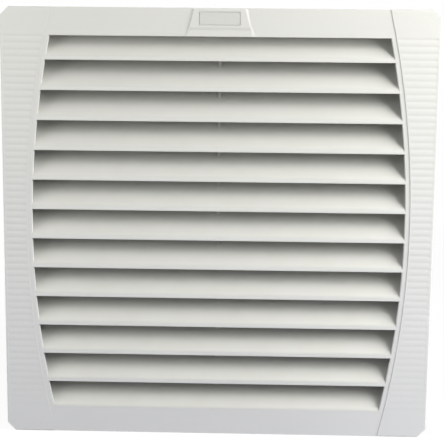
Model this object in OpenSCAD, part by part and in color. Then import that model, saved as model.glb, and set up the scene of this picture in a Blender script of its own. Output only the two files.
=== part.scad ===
// Cabinet filter fan: fold-down louvred cover, filter mat, snap-in housing and axial fan.
// All sizes are in millimetres. The front faces -Y and +Z is up.
// The origin is the middle of the panel cut-out, on the face of the panel.

/* [Front cover] */
// Width and height of the cover
cover_size = 323; // [315:0.5:335]
// How far the wings stand out from the panel
cover_reach = 25; // [24:0.5:30]
// Wall thickness of the cover
cover_wall = 2.4; // [1.8:0.1:3]
// Corner chamfer of the cover and the flange
corner_cut = 6.5; // [3:0.5:10]
// Rounding of the front edges
edge_round = 0.8; // [0.5:0.1:2.2]
// Step from the grille panel up to the wings
wing_step = 0.4; // [0.3:0.1:1.2]

/* [Wing grooves] */
// Spacing of the grooves
groove_pitch = 5; // [4:0.1:8]
// Width of a groove
groove_width = 3.4; // [1:0.1:3.8]
// Depth of a groove
groove_depth = 0.15; // [0.1:0.05:0.4]
// Plain length of wing above and below the grooves
groove_margin = 20; // [10:1:40]
// Plain width between a groove and the cover's edge
groove_edge = 2; // [2:0.5:6]
// Plain width between a groove and the step
groove_land = 1; // [1:0.5:4]

/* [Louvres] */
// Number of free blades
louvre_count = 12; // [10:1:14]
// Margin beside the louvre field at mid height
side_margin = 21.5; // [20:0.5:32]
// Radius of the field's bowed sides
bow_radius = 680; // [500:10:1000]
// How far the blades run on behind the rims at their ends
end_set = 4; // [1:0.5:6]
// Plain band between the louvre ends and the wings
rim_width = 3.6; // [2.5:0.1:6]
// Plain margin above the field
top_margin = 20.5; // [18:0.5:24]
// Plain margin below the lowest lip
bottom_margin = 17.6; // [16:0.1:24]
// Height of the first opening
first_gap = 17.8; // [14:0.1:22]
// Flat front of a blade's lip
lip_flat = 1.2; // [0.5:0.1:3]
// Rounding from the lip into the blade's face
nose_radius = 5; // [2:0.5:8]
// Thickness of a blade
blade_t = 2; // [1.6:0.1:2.6]
// Depth of a blade from front to back
blade_depth = 16.5; // [14:0.5:17]
// Slope of a blade against the horizontal
blade_slope = 53; // [45:1:58]
// Thickness of the web behind the middle of the blades
web_t = 2; // [1:0.1:3]
// How far the web's front edge lies behind the lips
web_set = 11; // [6:0.5:12]

/* [Boss and badge] */
// Half width of the boss at the top edge
boss_top = 18.6; // [12:0.1:25]
// Half width of the boss at its lower edge
boss_low = 22.3; // [15:0.1:30]
// Height of the boss
boss_height = 14; // [10:0.5:16]
// How far the boss stands out from the grille panel
boss_rise = 0.7; // [0.5:0.1:1.5]
// Width of the boss's sloped flanks
boss_flank = 2; // [1:0.1:3]
// Width of the badge recess
badge_w = 30.2; // [20:0.1:32]
// Height of the badge recess
badge_h = 9.7; // [6:0.1:10]
// Thickness of the badge plate
badge_t = 0.8; // [0.5:0.1:1.2]

/* [Cover hinge and snap] */
// Radius of the bead along the lower edge
bead_r = 3; // [2.5:0.1:4]
// Radius of the cover's hinge pins
hinge_pin_r = 1.6; // [1.2:0.1:2]
// Distance of a hinge from the middle
hinge_offset = 100; // [60:1:130]
// Width of a hinge hook
hook_width = 12; // [8:0.5:20]
// Distance of a snap tongue from the middle
snap_offset = 70; // [40:1:100]
// Width of a snap tongue
snap_width = 16; // [10:1:24]

/* [Housing] */
// How far the cover reaches past the edge of the panel cut-out
cutout_lap = 15.5; // [13:0.5:18]
// Gap between the filter tray and the edge of the cut-out
tray_clear = 6; // [5.5:0.1:9]
// Wall thickness of the housing
tray_wall = 3; // [2:0.1:4]
// Depth of the filter tray behind the panel
tray_depth = 38; // [36:0.5:44]
// Thickness of the flange
flange_t = 3; // [2.5:0.1:4]
// How far the flange stays behind the cover's outline
flange_inset = 1; // [0.5:0.1:2]
// Width of the panel gasket
gasket_w = 6; // [4:0.5:8]
// Thickness of the panel gasket
gasket_t = 2; // [1:0.1:2.2]
// Depth of the whole unit behind the panel
install_depth = 118.5; // [116:0.5:126]

/* [Filter] */
// Thickness of the filter mat
mat_t = 17; // [12:0.5:20]
// Thickness of the filter grid
grid_t = 5; // [3:0.5:6]
// Width of a grid bar
grid_bar = 3; // [2:0.5:4]
// Number of openings of the grid along a side
grid_cells = 10; // [6:1:14]

/* [Panel clips] */
// Width of a clip
clip_width = 18; // [12:1:26]
// Thickness of a clip's strip
clip_t = 1; // [0.8:0.1:1.2]
// Height of a clip above and below the middle
clip_offset = 80; // [60:1:100]
// How far a clip's nose stands out over the cut-out's edge
clip_grip = 3; // [2:0.1:4]
// Radius of a clip's pivot pin
pivot_r = 1.5; // [1.2:0.1:1.8]

/* [Fan] */
// Distance of the nozzle from the tray's outside
nozzle_margin = 24; // [23:0.5:30]
// Rounding of the nozzle's inlet
inlet_r = 8; // [5:0.5:10]
// Gap between blade tips and nozzle
tip_gap = 3; // [2:0.1:5]
// Number of fan blades
blade_count = 7; // [5:1:9]
// Thickness of a fan blade
fan_sheet = 1.6; // [1:0.1:2]
// Angle of a fan blade against the plane of rotation
blade_pitch = 28; // [20:1:32]
// Radius a fan blade is rolled to
camber_radius = 80; // [60:1:120]
// Angle a fan blade covers
blade_span = 40; // [30:1:42]
// Depth of the guard
guard_t = 8; // [7:0.5:10]
// Number of guard rings
guard_rings = 7; // [5:1:8]
// Number of guard spokes
guard_spokes = 8; // [8:4:16]

/* [Motor] */
// Outer radius of the rotor can
can_r = 46; // [44:0.5:50]
// Length of the rotor can
can_length = 50; // [48:0.5:54]
// Radius of the shaft
shaft_r = 4; // [3:0.5:4.5]
// Outer radius of a bearing
bearing_r = 11; // [9:0.5:11.5]
// Width of a bearing
bearing_w = 7; // [5:0.5:8]
// Number of stator slots
slot_count = 12; // [8:2:12]
// Radius of the motor lead
lead_r = 2.5; // [2:0.1:3]

/* [Clearances] */
// Gap between parts that move past each other
part_gap = 0.3; // [0.3:0.05:0.5]
// Radial running fit of pins and shaft
running_fit = 0.05; // [0.02:0.01:0.09]
// Gap round loose inserts
insert_gap = 0.4; // [0.2:0.1:0.8]

/* [Hidden] */
$fn = 64;
half = cover_size / 2;
cutout_size = cover_size - 2 * cutout_lap;
field_half = half - side_margin;
panel_y = wing_step - cover_reach;
cover_rear = -flange_t - part_gap;
pitch = (cover_size - top_margin - first_gap - bottom_margin) / louvre_count;
field_top = half - top_margin;
field_low = bottom_margin - half;
blade_rear = panel_y + blade_depth;
bow_offset = bow_radius - field_half;
bow_fn = 360;
field_wall = 2;
bite = 0.8;
rim_chamfer = 0.4;
step_draft = 0.2;
web_back = 0.2;
hinge_y = cover_rear - bead_r;
hinge_z = bead_r - half;
hook_r = bead_r;
notch_depth = 5.5;
snap_y = -5;
snap_bump = 1.1;
tray_size = cutout_size - 2 * tray_clear;
tray_half = tray_size / 2;
tray_in = tray_half - tray_wall;
mat_gap = 1.2;
mat_front = blade_rear + mat_gap;
grid_front = mat_front + mat_t;
grid_rear = grid_front + grid_t;
tray_front = mat_front - part_gap;
gasket_set = 0.5;
gasket_in = cutout_size / 2 + gasket_set;
pivot_stand = 3.6;
pivot_back = 7;
pin_x = tray_half + pivot_stand;
pin_y = tray_depth - pivot_back;
ear_t = 3;
clip_nose_y = 8;
clip_tip_y = 2.9;
clip_tip_in = 0.6;
curl_r = pivot_r + running_fit + clip_t;
nozzle_wall = 3;
nozzle_r = tray_half - nozzle_margin;
nozzle_out = nozzle_r + nozzle_wall;
guard_front = install_depth - guard_t;
guard_hub_set = 1;
guard_rim = 2;
guard_ring_w = 2.2;
guard_ring_set = 2;
spoke_w = 4;
saddle_w = 4;
saddle_wall = 1.5;
saddles_at = [can_r + 16, nozzle_r - 18];
post_r = 6;
post_gap = 6;
post_ring = nozzle_out + post_gap + post_r;
post_bore = 16;
shroud_t = 3;
shroud_r = post_ring + post_r;
shroud_screw_gap = 6.5;
shroud_screw_ring = nozzle_r + inlet_r + shroud_screw_gap;
lug_t = 5;
lug_rim = 2;
rib_t = 2.5;
gusset_rise = 30;
ledge_w = 6;
ledge_margin = 40;
ledge_pitch = tray_half - ledge_margin;
centring_rib = 12;
centring_margin = 20;
centring_pitch = (tray_size - 2 * centring_margin) / 3;
screw_core_r = 1.7;
screw_hole_r = 2.2;
screw_head_r = 3.8;
screw_head_t = 2.6;
head_sink = 0.5;
head_seat = install_depth - screw_head_t - head_sink;
motor_flange_t = 6;
flange_set = 3;
motor_flange_r = can_r - flange_set;
motor_front = guard_front - motor_flange_t;
motor_screw_ring = 32;
can_wall = 2;
can_bend = 4;
can_hub_wall = 5;
can_hub_depth = 9;
can_gap = 0.8;
can_rear = motor_front - can_gap;
can_front = can_rear - can_length;
can_in = can_r - can_wall;
cage_t = 3;
cage_lap = 2;
air_gap = 0.5;
core_r = can_in - cage_t - air_gap;
shaft_end = guard_front - 0.4;
circlip_t = 0.8;
circlip_w = 1.8;
circlip_bite = 0.5;
circlip_gap = 2.4;
circlip_y = guard_front - 1.7;
bearing_set = 2;
bearing_step = 1.5;
ring_t = 2;
shield_set = 0.4;
rear_seat = guard_front - bearing_w - bearing_set;
tube_set = 10;
tube_front = can_front + tube_set;
tube_wall = 3;
tube_r = bearing_r + tube_wall;
core_set_front = 15;
core_set_rear = 10;
core_front = can_front + core_set_front;
core_rear = can_rear - core_set_rear;
core_yoke = 6;
slot_tip = 5;
slot_in = tube_r + core_yoke;
slot_out = core_r - slot_tip;
slot_w = 5.5;
coil_gap = 0.3;
end_turns = 6;
fan_mid = can_front + can_length / 2;
tip_r = nozzle_r - tip_gap;
lead_angle = -180 / guard_spokes;
lead_y = guard_front - lead_r;
lead_dir = [cos(lead_angle), 0, sin(lead_angle)];
lead_bury = 6;
terminal_size = [36, 20, 18];
terminal_set = [23, 19];
terminal = [tray_half - terminal_set[0], tray_depth, terminal_set[1] - tray_half];
pole_pitch = 11;
pole_screw_r = 2.6;
pole_screw_z = 4.5;
pole_bore = 6;
entry_r = 2;
core_wire_r = 0.75;
core_spread = 1.65;
entry_y = tray_depth + 9;
lead_end = [terminal[0], entry_y, terminal[2] + terminal_size[2] / 2 + 10];
lead_route = [nozzle_out * lead_dir + [0, lead_y, 0], (nozzle_out + 9) * lead_dir + [0, lead_y - 4, 0],
    (nozzle_out + 13) * lead_dir + [0, lead_y - 16, -4], terminal + [4, 38, 45],
    terminal + [1, 14, 31], lead_end + [0, 0, 7], lead_end];
core_route = [[core_spread, -part_gap], [2 * core_spread, -3], [0.8 * pole_pitch, -6], [pole_pitch, -9.5],
    [pole_pitch, -15]];

// Lower edge of louvre lip number k, counted from the top; number louvre_count is the bottom ramp
function lip_z(k) = field_top - first_gap - k * pitch;

// Point at a radius and an angle in the XZ plane
function ring_xz(r, a) = [r * cos(a), r * sin(a)];

// Solids from flat outlines, along each axis or turned about Y
module along_x(x0, x1) { translate([x0, 0, 0]) rotate([90, 0, 90]) linear_extrude(x1 - x0) children(); }
module along_y(y0, y1) { translate([0, y1, 0]) rotate([90, 0, 0]) linear_extrude(y1 - y0) children(); }
module about_y() { rotate([-90, 0, 0]) rotate_extrude($fn = 120) children(); }
module rod_x(r, x0, x1) { translate([x0, 0, 0]) rotate([0, 90, 0]) cylinder(r = r, h = x1 - x0); }
module rod_y(r, y0, y1) { translate([0, y0, 0]) rotate([-90, 0, 0]) cylinder(r = r, h = y1 - y0); }
module block(x, y, z) { translate([x[0], y[0], z[0]]) cube([x[1] - x[0], y[1] - y[0], z[1] - z[0]]); }

// Copies on a circle about the fan's axis
module round_y(count, start = 0) {
    for (i = [0 : count - 1])
        rotate([0, -start - i * 360 / count, 0]) children();
}

// Square outline with chamfered corners
module cut_square(h, c) {
    polygon([[h - c, h], [h, h - c], [h, c - h], [h - c, -h],
        [c - h, -h], [-h, c - h], [-h, h - c], [c - h, h]]);
}

// Outline between the two bowed sides of the louvre field, grown by g
module lens_2d(g) {
    intersection() {
        translate([-bow_offset, 0]) circle(r = bow_radius + g, $fn = bow_fn);
        translate([bow_offset, 0]) circle(r = bow_radius + g, $fn = bow_fn);
    }
}

// The same outline between two heights
module field_2d(g, z0, z1) {
    intersection() {
        lens_2d(g);
        translate([-half, z0]) square([cover_size, z1 - z0]);
    }
}

// The bowed outline as a solid with sloped sides, grown by g0 in front and by g1 behind
module lens_slope(y0, y1, g0, g1) {
    intersection_for (s = [-1, 1])
        translate([s * bow_offset, y0, 0]) rotate([-90, 0, 0])
            cylinder(r1 = bow_radius + g0, r2 = bow_radius + g1, h = y1 - y0, $fn = bow_fn);
}

// Side outline of the cover with its front corners rounded, drawn as Y against height
module rounded_front() {
    translate([edge_round - cover_reach, -half]) square([cover_reach + cover_rear - edge_round, cover_size]);
    translate([-cover_reach, edge_round - half]) square([2 * edge_round, cover_size - 2 * edge_round]);
    for (s = [-1, 1])
        translate([edge_round - cover_reach, s * (half - edge_round)]) circle(r = edge_round);
}

// Section of one louvre blade from its lip's lower front edge, drawn as Y against height
module louvre_2d() {
    back = [blade_t * sin(blade_slope), -blade_t * cos(blade_slope)];
    knee = [nose_radius * (1 - sin(blade_slope)), lip_flat + nose_radius * cos(blade_slope)];
    run = blade_depth - back[0] - knee[0];
    tip = knee + [run, run * tan(blade_slope)];
    under = knee[1] + back[1] - (knee[0] + back[0] - blade_t) * tan(blade_slope);
    nose_steps = 6;
    nose = [for (i = [0 : nose_steps])
        let (a = 180 - i * (90 - blade_slope) / nose_steps)
        [nose_radius * (1 + cos(a)), lip_flat + nose_radius * sin(a)]];
    polygon(concat([[0, 0]], nose, [tip, tip + back, [blade_t, under], [blade_t, 0]]));
}

// Boss at the top edge: a plateau with sloped flanks, and a lower one that runs on into the louvre field
module boss() {
    root_z = field_top - 1;
    low_z = half - boss_height;
    flare = boss_low + (boss_low - boss_top) * (low_z - root_z) / boss_height;
    top = half - edge_round;
    foot_top = boss_top + boss_flank;
    foot_low = boss_low + boss_flank;
    foot_z = low_z - 2 * boss_flank;
    plateau_2d = [[boss_top, top], [boss_low, low_z], [-boss_low, low_z], [-boss_top, top]];
    foot_2d = [[foot_top, top], [foot_low, foot_z], [-foot_low, foot_z], [-foot_top, top]];
    apron_2d = [[boss_low, low_z], [flare, root_z], [-flare, root_z], [-boss_low, low_z]];
    apron_foot_2d = [[foot_low, low_z], [flare + boss_flank, root_z],
        [-flare - boss_flank, root_z], [-foot_low, low_z]];
    frustum(foot_2d, plateau_2d, panel_y, panel_y - boss_rise);
    frustum(apron_foot_2d, apron_2d, panel_y, panel_y - boss_rise / 2);
}

// Solid between two outlines with equally many points in XZ, at two depths
module frustum(a, b, y0, y1) {
    n = len(a);
    polyhedron(
        points = concat([for (p = a) [p[0], y0, p[1]]], [for (p = b) [p[0], y1, p[1]]]),
        faces = concat([[for (i = [n - 1 : -1 : 0]) i]], [[for (i = [0 : n - 1]) n + i]],
            [for (i = [0 : n - 1]) [i, (i + 1) % n, n + (i + 1) % n, n + i]]));
}

// Grooves across both wings
module wing_grooves() {
    rows = floor((cover_size - 2 * groove_margin) / groove_pitch);
    intersection() {
        along_x(-half, half)
            for (i = [0 : rows])
                translate([-cover_reach, (i - rows / 2) * groove_pitch])
                    polygon([[-groove_depth, groove_width], [groove_depth, 0],
                        [-groove_depth, -groove_width]]);
        along_y(-cover_reach - 1, 1 - cover_reach)
            difference() {
                square(2 * (half - groove_edge), center = true);
                lens_2d(rim_width + groove_land);
            }
    }
}

// Badge recess and plate share one outline
module badge_2d(gap) {
    translate([0, half - boss_height / 2 - 0.6])
        square([badge_w - 2 * gap, badge_h - 2 * gap], center = true);
}

// One moulded cover: shell, louvres, wings, boss, hinge bead with pins and two snap tongues
module front_cover() {
    color("gainsboro") {
        difference() {
            union() {
                difference() {
                    cover_shell();
                    block([-half - 1, half + 1], [hinge_y, 0], [-half - 1, hinge_z + bead_r]);
                }
                along_y(panel_y + 1, blade_rear)
                    field_2d(end_set + field_wall, field_low - field_wall, field_top + field_wall);
                translate([0, hinge_y, hinge_z]) rod_x(bead_r, corner_cut + 1 - half, half - corner_cut - 1);
                snap_tongues();
                boss();
            }
            along_y(-cover_reach - 2, blade_rear + 1) field_2d(0, field_low + lip_flat, field_top);
            along_y(panel_y + cover_wall, blade_rear + 1)
                field_2d(end_set, field_low + lip_flat, field_top);
            intersection() {
                lens_slope(panel_y - 0.01, panel_y + rim_chamfer, rim_chamfer, 0);
                block([-half, half], [-cover_reach, 0], [field_low + lip_flat, field_top]);
            }
            wing_grooves();
            along_y(-cover_reach - 2, panel_y - boss_rise + badge_t) badge_2d(0);
            for (s = [-1, 1])
                block([s * hinge_offset - hook_width / 2 - insert_gap,
                    s * hinge_offset + hook_width / 2 + insert_gap],
                    [hinge_y - notch_depth, 0], [-half - 1, hinge_z + notch_depth]);
        }
        louvres();
        for (s = [-1, 1])
            translate([s * hinge_offset, hinge_y, hinge_z])
                rod_x(hinge_pin_r, -hook_width / 2 - 1, hook_width / 2 + 1);
    }
}

module cover_shell() {
    difference() {
        intersection() {
            along_y(-cover_reach, cover_rear) cut_square(half, corner_cut);
            along_x(-half, half) rounded_front();
            rotate([0, 90, 0]) along_x(-half, half) rounded_front();
        }
        along_y(panel_y + cover_wall, 1) cut_square(half - cover_wall, corner_cut);
        lens_slope(-cover_reach - 0.01, panel_y, rim_width + step_draft, rim_width - step_draft);
    }
}

// Blades with the web behind their middle; the last one is the ramp into the bottom margin
module louvres() {
    intersection() {
        union() {
            for (k = [0 : louvre_count])
                translate([0, panel_y, lip_z(k)]) along_x(-half, half) louvre_2d();
            block([-web_t / 2, web_t / 2], [panel_y + web_set, blade_rear - web_back],
                [field_low, field_top + 1]);
        }
        along_y(panel_y - 1, blade_rear + 1) field_2d(end_set + bite, field_low, field_top + 1);
    }
}

// Tongues that click over the top wall of the filter tray
module snap_tongues() {
    for (s = [-1, 1]) {
        block([s * snap_offset - snap_width / 2, s * snap_offset + snap_width / 2],
            [blade_rear - 1, cover_rear - part_gap], [tray_half + bite, field_top + field_wall]);
        translate([s * snap_offset, snap_y, tray_half + bite])
            rod_x(snap_bump, -snap_width / 2, snap_width / 2);
    }
}

// Blank plate in the boss
module badge_plate() {
    color("silver")
        along_y(panel_y - boss_rise + 0.1, panel_y - boss_rise + badge_t) badge_2d(part_gap);
}

// Moulded flange, filter tray and rear wall in one piece
module base_housing() {
    color("lightgray")
        difference() {
            union() {
                along_y(-flange_t, 0)
                    difference() {
                        cut_square(half - flange_inset, corner_cut);
                        square(2 * tray_in, center = true);
                    }
                along_y(tray_front, tray_depth)
                    difference() {
                        square(tray_size, center = true);
                        square(2 * tray_in, center = true);
                    }
                along_y(tray_depth - tray_wall, tray_depth)
                    difference() {
                        square(tray_size, center = true);
                        circle(r = nozzle_r + inlet_r + insert_gap, $fn = 120);
                    }
                round_y(4) tray_ribs();
                hinge_hooks();
                for (s = [-1, 1], t = [-1, 1])
                    clip_pivot(s, t);
            }
            along_y(-gasket_t, 1) gasket_2d();
            for (s = [-1, 1])
                translate([s * snap_offset, snap_y, tray_half + bite])
                    rod_x(snap_bump + part_gap, -snap_width / 2 - 1, snap_width / 2 + 1);
            round_y(4)
                translate([shroud_screw_ring, 0, 0])
                    rod_y(screw_core_r, tray_depth - tray_wall - 1, tray_depth + 1);
        }
}

// Fan nozzle with its mounting ring, the posts for the guard and a notch for the motor lead
module fan_shroud() {
    color("lightgray")
        difference() {
            union() {
                about_y() nozzle_2d();
                about_y() mounting_ring_2d();
                round_y(4, 45) guard_post();
                round_y(8, 22.5) gusset();
            }
            round_y(4)
                translate([shroud_screw_ring, 0, 0])
                    rod_y(screw_hole_r, tray_depth - 1, tray_depth + shroud_t + 1);
            rotate([0, -lead_angle, 0])
                block([nozzle_r - 2, nozzle_out + 2], [lead_y - lead_r - insert_gap, guard_front + 1],
                    [-lead_r - insert_gap, lead_r + insert_gap]);
        }
}

// Section of the ring on the rear wall and of the collar that centres it in the wall's hole
module mounting_ring_2d() {
    collar = nozzle_wall / 2;
    translate([nozzle_out - 1, tray_depth]) square([shroud_r - nozzle_out + 1, shroud_t]);
    translate([nozzle_r + inlet_r - nozzle_wall, tray_depth - collar]) square([nozzle_wall, 2 * collar]);
}

module shroud_screws() {
    color("silver")
        round_y(4)
            translate([shroud_screw_ring, tray_depth + shroud_t, 0])
                pan_screw(screw_core_r, shroud_t + tray_wall - 0.5, screw_head_r, screw_head_t);
}

// Section of the rounded inlet and the nozzle, drawn as radius against Y
module nozzle_2d() {
    start = tray_depth - tray_wall;
    translate([nozzle_r, start + inlet_r]) square([nozzle_wall, guard_front - start - inlet_r]);
    intersection() {
        translate([nozzle_r + inlet_r, start + inlet_r])
            difference() {
                circle(r = inlet_r);
                circle(r = inlet_r - nozzle_wall);
            }
        translate([nozzle_r, start]) square(inlet_r);
    }
}

// Post for a guard screw with a web to the nozzle
module guard_post() {
    difference() {
        union() {
            translate([post_ring, 0, 0]) rod_y(post_r, tray_depth + 1, guard_front);
            block([nozzle_out - 1, post_ring - post_r + 1], [tray_depth + 1, guard_front - lug_t],
                [-rib_t / 2, rib_t / 2]);
        }
        translate([post_ring, 0, 0]) rod_y(screw_core_r, guard_front - post_bore, guard_front + 1);
    }
}

// Stiffening rib between the mounting ring and the nozzle
module gusset() {
    translate([0, 0, -rib_t / 2]) linear_extrude(rib_t)
        polygon([[nozzle_out - 1, tray_depth + 1], [shroud_r - 1, tray_depth + 1],
            [nozzle_out - 1, tray_depth + gusset_rise]]);
}

// Ribs on one side of the tray: ledges under the filter grid inside, centring ribs outside
module tray_ribs() {
    for (i = [-1, 0, 1])
        translate([0, 0, i * ledge_pitch])
            block([tray_in - ledge_w, tray_in + 1], [grid_rear, tray_depth - 1], [-rib_t / 2, rib_t / 2]);
    for (i = [-1.5 : 1.5])
        translate([0, 0, i * centring_pitch])
            block([tray_half - 1, cutout_size / 2 - insert_gap], [-1, centring_rib], [-rib_t / 2, rib_t / 2]);
}

// Open hooks that the cover's pins snap into
module hinge_hooks() {
    for (s = [-1, 1])
        translate([s * hinge_offset, hinge_y, hinge_z])
            along_x(-hook_width / 2, hook_width / 2)
                difference() {
                    union() {
                        circle(r = hook_r);
                        translate([0, -hinge_pin_r]) square([-hinge_y - flange_t + 1, hinge_pin_r + hook_r]);
                    }
                    circle(r = hinge_pin_r + running_fit);
                    translate([-2 * hook_r, 0.8 * hinge_pin_r - hook_r]) square([2 * hook_r, hook_r]);
                }
}

// Two ears and a pin on the tray's side wall; s picks the side and t the height
module clip_pivot(s, t) {
    ear = clip_width / 2 + insert_gap;
    translate([0, 0, t * clip_offset]) mirror([s < 0 ? 1 : 0, 0, 0]) {
        for (u = [-1, 1])
            translate([0, 0, u > 0 ? ear : -ear - ear_t])
                linear_extrude(ear_t) {
                    translate([tray_half - 1, pin_y - curl_r]) square([pin_x - tray_half + 1, 2 * curl_r]);
                    translate([pin_x, pin_y]) circle(r = curl_r);
                }
        translate([pin_x, pin_y, -ear - 1]) cylinder(r = pivot_r, h = 2 * ear + 2);
    }
}

// Foam ring outside the cut-out, in a rebate of the flange
module gasket_2d() {
    difference() {
        square(2 * (gasket_in + gasket_w), center = true);
        square(2 * gasket_in, center = true);
    }
}

module panel_gasket() {
    color("dimgray")
        along_y(-gasket_t, 0) gasket_2d();
}

module filter_mat() {
    color("white")
        along_y(mat_front, grid_front) square(2 * (tray_in - insert_gap), center = true);
}

// Square grid that lies on the tray's ledges
module filter_grid() {
    side = tray_in - insert_gap;
    cell = (2 * side - grid_bar) / grid_cells;
    color("lightgray")
        along_y(grid_front, grid_rear)
            for (i = [0 : grid_cells]) {
                translate([-side, i * cell - side]) square([2 * side, grid_bar]);
                translate([i * cell - side, -side]) square([grid_bar, 2 * side]);
            }
}

// Flat strip along a list of points, with rounded bends
module strip_2d(pts, t) {
    for (i = [0 : len(pts) - 2]) {
        d = pts[i + 1] - pts[i];
        translate(pts[i]) rotate(atan2(d[1], d[0])) translate([0, -t / 2]) square([norm(d), t]);
        translate(pts[i + 1]) circle(d = t);
    }
}

// Sprung clip: curl round the pivot pin, arm, nose and the sloped face that grips the panel
module panel_clip(s, t) {
    edge = cutout_size / 2;
    color("slategray")
        translate([0, 0, t * clip_offset]) mirror([s < 0 ? 1 : 0, 0, 0])
            linear_extrude(clip_width, center = true)
                difference() {
                    union() {
                        translate([pin_x, pin_y]) circle(r = curl_r);
                        strip_2d([[pin_x + curl_r - clip_t / 2, pin_y],
                            [edge + clip_grip - clip_t / 2, clip_nose_y],
                            [edge - clip_tip_in, clip_tip_y]],
                            clip_t);
                    }
                    translate([pin_x, pin_y]) circle(r = pivot_r + running_fit);
                }
}

module clip_left_upper() { panel_clip(-1, 1); }
module clip_left_lower() { panel_clip(-1, -1); }
module clip_right_upper() { panel_clip(1, 1); }
module clip_right_lower() { panel_clip(1, -1); }

// Moulded guard: rim, lugs, rings, spokes and the hub that carries the motor
module fan_guard() {
    hub_r = can_r - guard_hub_set;
    rim_in = nozzle_r - guard_rim;
    gap = (rim_in - hub_r) / (guard_rings + 1);
    color("dimgray")
        difference() {
            union() {
                along_y(guard_front, install_depth) circle(r = hub_r, $fn = 120);
                along_y(guard_front, install_depth)
                    difference() {
                        circle(r = nozzle_out + guard_rim, $fn = 120);
                        circle(r = rim_in, $fn = 120);
                    }
                along_y(guard_front + guard_ring_set, install_depth - guard_ring_set)
                    for (i = [1 : guard_rings])
                        difference() {
                            circle(r = hub_r + i * gap + guard_ring_w / 2, $fn = 120);
                            circle(r = hub_r + i * gap - guard_ring_w / 2, $fn = 120);
                        }
                round_y(guard_spokes, 180 / guard_spokes)
                    block([hub_r - 1, rim_in + 1], [guard_front, install_depth - 1],
                        [-spoke_w / 2, spoke_w / 2]);
                round_y(4, 45) {
                    translate([post_ring, 0, 0]) rod_y(post_r + lug_rim, guard_front, guard_front + lug_t);
                    block([nozzle_out, post_ring], [guard_front, guard_front + lug_t],
                        [-post_r - lug_rim, post_r + lug_rim]);
                }
                lead_saddles();
            }
            round_y(4, 45) {
                translate([post_ring, 0, 0]) rod_y(screw_hole_r, guard_front - 1, install_depth);
                translate([motor_screw_ring, 0, 0]) rod_y(screw_hole_r, guard_front - 1, install_depth + 1);
                translate([motor_screw_ring, 0, 0])
                    rod_y(screw_head_r + insert_gap, head_seat, install_depth + 1);
            }
            rod_y(bearing_r, guard_front - 1, guard_front + 3);
        }
}

// Saddles on the guard's spoke that hold the motor lead
module lead_saddles() {
    r = lead_r + part_gap;
    rotate([0, -lead_angle, 0])
        for (x = saddles_at)
            along_x(x - saddle_w / 2, x + saddle_w / 2)
                difference() {
                    translate([lead_y - r - saddle_wall, -r - saddle_wall])
                        square([guard_front - lead_y + r + 2 * saddle_wall, 2 * (r + saddle_wall)]);
                    translate([lead_y, 0]) circle(r = r);
                }
}

// Pan-head screw with a cross recess, head at y = 0 and pointing to -Y
module pan_screw(shank_r, length, head_r, head_t) {
    rod_y(shank_r, -length, 0.5);
    difference() {
        rod_y(head_r, 0, head_t);
        for (a = [0, 90])
            rotate([0, a, 0]) block([-head_r / 2, head_r / 2], [head_t / 2, head_t + 1], [-0.5, 0.5]);
    }
}

module guard_screws() {
    color("silver")
        round_y(4, 45)
            translate([post_ring, guard_front + lug_t, 0])
                pan_screw(screw_core_r, lug_t + post_bore - 2, screw_head_r, screw_head_t);
}

module motor_screws() {
    color("silver")
        round_y(4, 45)
            translate([motor_screw_ring, head_seat, 0])
                pan_screw(screw_core_r, head_seat - motor_front - 1, screw_head_r, screw_head_t);
}

// Die-cast flange with the bearing tube
module motor_flange() {
    color("darkgray")
        difference() {
            union() {
                rod_y(motor_flange_r, motor_front, guard_front, $fn = 120);
                rod_y(tube_r, tube_front, guard_front);
            }
            rod_y(bearing_r - bearing_step, tube_front - 1, guard_front + 1);
            rod_y(bearing_r, tube_front - 1, tube_front + bearing_w);
            rod_y(bearing_r, rear_seat, guard_front + 1);
            round_y(4, 45)
                translate([motor_screw_ring, 0, 0]) rod_y(screw_core_r, motor_front + 0.5, guard_front + 1);
            rotate([0, -lead_angle, 0])
                block([motor_flange_r - lead_bury - 1, motor_flange_r + 1],
                    [lead_y - lead_r - part_gap, guard_front + 1],
                    [-lead_r - part_gap, lead_r + part_gap]);
        }
}

module stator_core() {
    color("slategray")
        along_y(core_front, core_rear)
            difference() {
                circle(r = core_r, $fn = 120);
                circle(r = tube_r);
                for (i = [0 : slot_count - 1])
                    rotate(i * 360 / slot_count) {
                        translate([slot_in, -slot_w / 2]) square([slot_out - slot_in, slot_w]);
                        translate([slot_out - 1, -1]) square([core_r - slot_out + 2, 2]);
                    }
            }
}

// Coils: one bar in each slot, joined by the end turns
module stator_windings() {
    color("chocolate") {
        for (i = [0 : slot_count - 1])
            rotate([0, -i * 360 / slot_count, 0])
                block([slot_in + coil_gap, slot_out - coil_gap],
                    [core_front - end_turns / 2, core_rear + end_turns / 2],
                    [coil_gap - slot_w / 2, slot_w / 2 - coil_gap]);
        for (y = [core_front - end_turns, core_rear + coil_gap])
            along_y(y, y + end_turns - coil_gap)
                difference() {
                    circle(r = slot_out - coil_gap, $fn = 96);
                    circle(r = slot_in + coil_gap, $fn = 96);
                }
    }
}

// Ball bearing from y0, with the recessed shield between its rings
module bearing(y0) {
    color("lightsteelblue")
        about_y()
            difference() {
                translate([shaft_r + running_fit, y0]) square([bearing_r - shaft_r - running_fit, bearing_w]);
                for (y = [y0, y0 + bearing_w])
                    translate([shaft_r + ring_t, y - shield_set])
                        square([bearing_r - shaft_r - 2 * ring_t, 2 * shield_set]);
            }
}

module front_bearing() { bearing(tube_front); }
module rear_bearing() { bearing(rear_seat); }

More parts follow.
